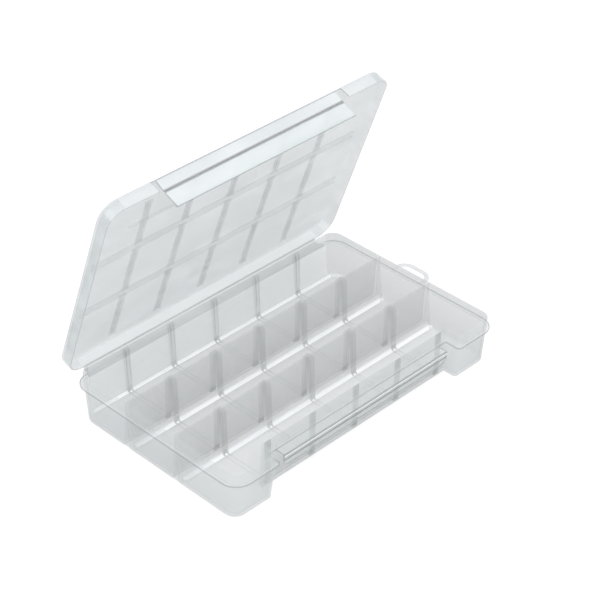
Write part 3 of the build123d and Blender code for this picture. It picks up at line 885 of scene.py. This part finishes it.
# Runs a tree once with its own values and returns the plain mesh
def meshFromTree(treeAndInputs, values, base=None):
    tree, inputs = treeAndInputs
    holder = bpy.data.objects.new("ribHolder", base or bpy.data.meshes.new("ribSource"))
    bpy.context.scene.collection.objects.link(holder)
    modifier = holder.modifiers.new("shape", "NODES")
    modifier.node_group = tree
    for name, value in values.items():
        modifier[inputs[name]] = value
    holder.update_tag()
    view = bpy.context.evaluated_depsgraph_get()
    made = bpy.data.meshes.new_from_object(holder.evaluated_get(view))
    holder.modifiers.clear()
    bpy.data.objects.remove(holder)
    return made


# Joins what the trees made into one piece with the finish that they gave it
def placeRibs(name, meshes, body, replaced, turn=None):
    joined = bmesh.new()
    for mesh in meshes:
        joined.from_mesh(mesh)
    weld(joined, meshing["ribWeld"])
    for face in joined.faces:
        face.material_index = 0
    result = bpy.data.meshes.new(name)
    joined.to_mesh(result)
    joined.free()
    result.materials.append([finish for finish in meshes[0].materials if finish is not None][-1])
    if turn is not None:
        result.transform(turn)
    for mesh in meshes:
        bpy.data.meshes.remove(mesh)
    placePiece(name, result, body, replaced)


def scaled(*values):
    return tuple(v * mm for v in values)


# Flare steps are (height over the floor, share of the flare) and chamfer steps are (drop from the
# top, cut). The top is cut deeper on the walls that lean more.
slotShape = {
    "count": 5, "pitch": 45.0, "slotWidth": 2.2, "rib": 1.4, "web": 1.0, "webShare": 0.6,
    "softEdge": 0.35, "softShare": 0.4, "drop": 1.0, "footReach": 0.5, "topReach": 0.9, "sunk": 0.25,
    "flare": 1.8, "flareSteps": ((0.6, 0.5), (1.6, 0.15), (3.0, 0)),
    "chamferSteps": ((3.0, 0), (1.2, 0.5), (0.4, 1.1)), "topCut": 1.2, "leaningTopCut": 1.9, "leaning": 2.0,
    "floorRib": 1.0, "floorRounding": 0.2, "floorGap": 2.2,
}


# Across one slot: two ribs and the thin web between them, from just inside the wall (root) out to
# their face
def slotSection(root, face):
    s = slotShape
    slot, outside = s["slotWidth"] / 2, s["slotWidth"] / 2 + s["rib"]
    sign = 1 if face > root else -1
    soft = min(s["softEdge"], abs(face - root) * s["softShare"])
    web = root + sign * min(s["web"], abs(face - root) * s["webShare"])
    root -= sign * s["sunk"]
    half = [
        (slot, web), (slot, face - sign * soft), (slot + soft, face),
        (outside - soft, face), (outside, face - sign * soft), (outside, root),
    ]
    return [(-x, y) for x, y in reversed(half)] + half


# One slot's ribs, as a stack of rings that is closed at both ends, repeated in a row
def rowOf(rings, finish):
    shell = stackRings(rings, [finish] * len(rings))
    addFace(shell, rings[0], finish)
    addFace(shell, rings[-1], finish)
    single = bpy.data.meshes.new("oneSlot")
    single.from_pydata([Vector(p) * mm for p in shell[0]], [], shell[1])
    return meshFromTree(rowOfSlots, {
        "Count": slotShape["count"], "Step": scaled(slotShape["pitch"], 0, 0), "Finish": finishes[finish],
    }, single)


# Slot ribs on a leaning wall. Their face stands nearly upright and flares at the foot. outward is
# their side of the wall in Y.
def postRow(footY, lean, outward, finish="rib"):
    s, t = slotShape, trayShape
    floor, top = t["floor"], t["top"] - s["drop"]
    faceFoot = footY + outward * s["footReach"]
    faceTop = footY + lean + outward * (abs(lean) * s["topReach"] + s["footReach"])
    levels = [(floor - s["sunk"], s["flare"])]
    levels += [(floor + rise, s["flare"] * share) for rise, share in s["flareSteps"]]
    levels += [(top - fall, -cut) for fall, cut in s["chamferSteps"]]
    levels.append((top, -s["leaningTopCut"] if abs(lean) > s["leaning"] else -s["topCut"]))
    rings = []
    for z, extra in levels:
        share = leanShare(z)
        face = faceFoot + (faceTop - faceFoot) * share + outward * extra
        rings.append([(x, y, z) for x, y in slotSection(footY + lean * share, face)])
    return rowOf(rings, finish)


backPosts = postRow(trayShape["backWall"], trayShape["backLean"], -1)
placeRibs("slot_posts_back", [backPosts], "tray", ["slot_ribs_wall_back"])
recessPosts = postRow(trayShape["recessWall"], -trayShape["recessLean"], 1, "frontRib")
placeRibs("slot_posts_recess", [recessPosts], "tray", ["slot_ribs_wall_recess"])
half, lean = trayShape["partitionHalf"], trayShape["partitionLean"]
for index, y in enumerate(trayShape["partitions"]):
    rows = [postRow(y + half, -lean, 1), postRow(y - half, lean, -1)]
    placeRibs(f"slot_posts_partition_{index + 1}", rows, "tray", [f"slot_ribs_partition_{index + 1}"])


def floorRow(y0, y1):
    s = slotShape
    z = trayShape["floor"] + s["floorRib"] / 2 - s["sunk"]
    return meshFromTree(ribRow, {
        "Count": s["count"], "Step": scaled(s["pitch"], 0, 0),
        "Half Spread": scaled((s["slotWidth"] + s["rib"]) / 2, 0, 0),
        "Start": scaled(0, y0, z), "End": scaled(0, y1, z), "Width": s["floorRib"] * mm,
        "Depth": s["floorRib"] * mm, "Rounding": s["floorRounding"] * mm, "Finish": finishes["lowRib"],
    })


bayFronts = [y + half for y in trayShape["partitions"]] + [trayShape["recessWall"]]
bayBacks = [trayShape["backWall"]] + [y - half for y in trayShape["partitions"]]
gap = slotShape["floorGap"]
floorRows = [floorRow(front + gap, back - gap) for front, back in zip(bayFronts, bayBacks)]
placeRibs("floor_ribs", floorRows, "tray", ["floor_ribs_bay_1", "floor_ribs_bay_2", "floor_ribs_bay_3"])

lidRibShape = {
    "low": 8.45, "high": 9.95, "crossRib": 1.2, "crossRounding": 0.3, "halfLength": 131.5,
    "straddle": 1.8, "partitions": (-60.925, -113.675), "frontRib": -142.6, "frontHalfLength": 105.0,
    "backEnd": -11.1, "frontEnd": -161.8, "endFlare": 1.45, "endReach": 4.0, "flareShare": 0.4,
}


# One low cross rib, or two that straddle a partition, repeated along the lid
def crossRibs(middle, halfLength, spread, count, step):
    s = lidRibShape
    top = s["high"] + slotShape["sunk"]
    z = (s["low"] + top) / 2
    return meshFromTree(ribRow, {
        "Count": count, "Step": scaled(0, step, 0), "Half Spread": scaled(0, spread, 0),
        "Start": scaled(-halfLength, middle, z), "End": scaled(halfLength, middle, z),
        "Width": s["crossRib"] * mm, "Depth": (top - s["low"]) * mm,
        "Rounding": s["crossRounding"] * mm, "Finish": finishes["crossRib"],
    })


# A row of slot ribs under the lid that get wider at both ends
def lidSlotRun(y0, y1):
    s = lidRibShape
    section = slotSection(s["high"], s["low"])
    flare, reach, share = s["endFlare"], s["endReach"], s["flareShare"]
    ends = [(0, flare), (reach * share, 1 + (flare - 1) * share), (reach, 1)]
    steps = [(y0 + way, wider) for way, wider in ends] + [(y1 - way, wider) for way, wider in reversed(ends)]
    return rowOf([[(x * wider, y, z) for x, z in section] for y, wider in steps], "lidRib")


def lidRibs():
    s = lidRibShape
    back, front = s["partitions"]
    clear = s["straddle"] + s["crossRib"]
    cross = [
        crossRibs((back + front) / 2, s["halfLength"], s["straddle"] + s["crossRib"] / 2, 2, front - back),
        crossRibs(s["frontRib"] + s["crossRib"] / 2, s["frontHalfLength"], 0, 1, 0),
    ]
    runs = [
        (back + clear, s["backEnd"]), (front + clear, back - clear),
        (s["frontRib"] + s["crossRib"], front - clear), (s["frontEnd"], s["frontRib"]),
    ]
    return cross, [lidSlotRun(y0, y1) for y0, y1 in runs]


crossMeshes, slotMeshes = lidRibs()
placeRibs("lid_cross_ribs", crossMeshes, "lid", ["lid_cross_ribs"], lidTurn)
placeRibs("lid_slot_ribs", slotMeshes, "lid", ["lid_slot_ribs"], lidTurn)

loopShape = {
    "root": 138.2, "reach": 15.3, "middle": 6.4, "halfWidth": 16.5, "bar": 3.7, "depth": 1.2,
    "rounding": 0.5, "radius": 11.0, "cornerSteps": 12, "height": 31.3,
}


def hangingLoop():
    s = loopShape
    half = s["bar"] / 2
    low, high = s["middle"] - s["halfWidth"] + half, s["middle"] + s["halfWidth"] - half
    root, far, radius = s["root"], s["root"] + s["reach"] - half, s["radius"] - half
    corners = [(root, low, 0), (far, low, radius), (far, high, radius), (root, high, 0)]
    path = roundedPath(corners, steps=s["cornerSteps"], closed=False)
    points = [Vector((p.x, p.y, s["height"])) * mm for p in path]
    base = bpy.data.meshes.new("loopPath")
    base.from_pydata(points, [(i, i + 1) for i in range(len(points) - 1)], [])
    return meshFromTree(barAlongPath, {
        "Width": s["bar"] * mm, "Depth": s["depth"] * mm, "Rounding": s["rounding"] * mm,
        "Finish": finishes["loop"],
    }, base)


placeRibs("hanging_loop", [hangingLoop()], "tray", ["hanging_loop"])
print("ribs and loop made")


# Pale floor, world and lamp. White for the camera comes from Is Camera Ray, not from more light, and
# the paper is painted a pale grey, a painted shade, where it is seen through the plastic, and so is the sky,
# as in a cut-out photograph.
stageLook = {
    "sky": (0.68, 0.69, 0.70), "throughSkyPaintedShade": (0.83, 0.845, 0.86), "floorColour": (0.62, 0.62, 0.62),
    "floorGlow": 0.48, "throughGlowPaintedShade": 0.22, "floorRoughness": 0.9, "floorGloss": 0.1,
    "floorReach": 4.0, "floorDrop": 0.0006, "sunStrength": 1.4, "sunAngle": 35,
    "sunFrom": (-0.35, -0.45, 0.75),
}
white = (1, 1, 1, 1)


# 1 for rays that show the stage and 0 for those that only light the part
def rayMask(tree, rays):
    total = rays.outputs["Is Camera Ray"]
    for other in ("Is Glossy Ray", "Is Transmission Ray"):
        plus = addNode(tree, "ShaderNodeMath", {
            0: total, 1: rays.outputs[other],
        }, operation="ADD", clamp=True)
        total = plus.outputs["Value"]
    return total


def makeSky():
    world = bpy.data.worlds.new("studio")
    bpy.context.scene.world = world
    world.use_nodes = True
    tree = world.node_tree
    rays = tree.nodes.new("ShaderNodeLightPath")
    seen = addNode(tree, "ShaderNodeMix", {
        "Factor": rays.outputs["Transparent Depth"], "A": white, "B": (*stageLook["throughSkyPaintedShade"], 1),
    }, dataType="RGBA")
    mix = addNode(tree, "ShaderNodeMix", {
        "Factor": rayMask(tree, rays), "A": (*stageLook["sky"], 1), "B": seen.outputs["Result"],
    }, dataType="RGBA")
    fillInputs(tree.nodes["Background"], {"Color": mix.outputs["Result"]})


def makePaper():
    s = stageLook
    paper = bpy.data.materials.new("white paper")
    paper.use_nodes = True
    tree = paper.node_tree
    rays = tree.nodes.new("ShaderNodeLightPath")
    level = addNode(tree, "ShaderNodeMapRange", {
        "Value": rays.outputs["Transparent Depth"], "To Min": s["floorGlow"], "To Max": s["throughGlowPaintedShade"],
    })
    paintedGlow = addNode(tree, "ShaderNodeMath", {
        0: rayMask(tree, rays), 1: level.outputs["Result"],
    }, operation="MULTIPLY")
    fillInputs(tree.nodes["Principled BSDF"], {
        "Base Color": (*s["floorColour"], 1), "Roughness": s["floorRoughness"],
        "Specular IOR Level": s["floorGloss"], "Emission Color": white,
        "Emission Strength": paintedGlow.outputs["Value"],
    })
    return paper


def makeStage():
    s = stageLook
    makeSky()
    reach, z = s["floorReach"], -s["floorDrop"]
    corners = [(-reach, -reach, z), (reach, -reach, z), (reach, reach, z), (-reach, reach, z)]
    floorMesh = bpy.data.meshes.new("floor")
    floorMesh.from_pydata(corners, [], [(0, 1, 2, 3)])
    floorMesh.materials.append(makePaper())
    floor = bpy.data.objects.new("studioFloor", floorMesh)
    bpy.context.scene.collection.objects.link(floor)

    lamp = bpy.data.lights.new("softSun", "SUN")
    lamp.energy = s["sunStrength"]
    lamp.angle = math.radians(s["sunAngle"])
    sun = bpy.data.objects.new("softSun", lamp)
    sun.rotation_euler = Vector(s["sunFrom"]).to_track_quat("Z", "Y").to_euler()
    bpy.context.scene.collection.objects.link(sun)


makeStage()

# Target and distance in millimetres, near limit in metres
cameraPlace = {
    "target": (86.69, 74.59, 0.0), "away": (-1, -1, 1), "distance": 1576.6, "lens": 116.77,
    "sensor": 36.0, "nearLimit": 0.05,
}
camera = bpy.data.objects.new("camera", bpy.data.cameras.new("camera"))
bpy.context.scene.collection.objects.link(camera)
camera.data.lens = cameraPlace["lens"]
camera.data.sensor_width = cameraPlace["sensor"]
camera.data.clip_start = cameraPlace["nearLimit"]
away = Vector(cameraPlace["away"]).normalized()
camera.location = (Vector(cameraPlace["target"]) + away * cameraPlace["distance"]) * mm
camera.rotation_euler = away.to_track_quat("Z", "Y").to_euler()
bpy.context.scene.camera = camera
print("stage and camera made")
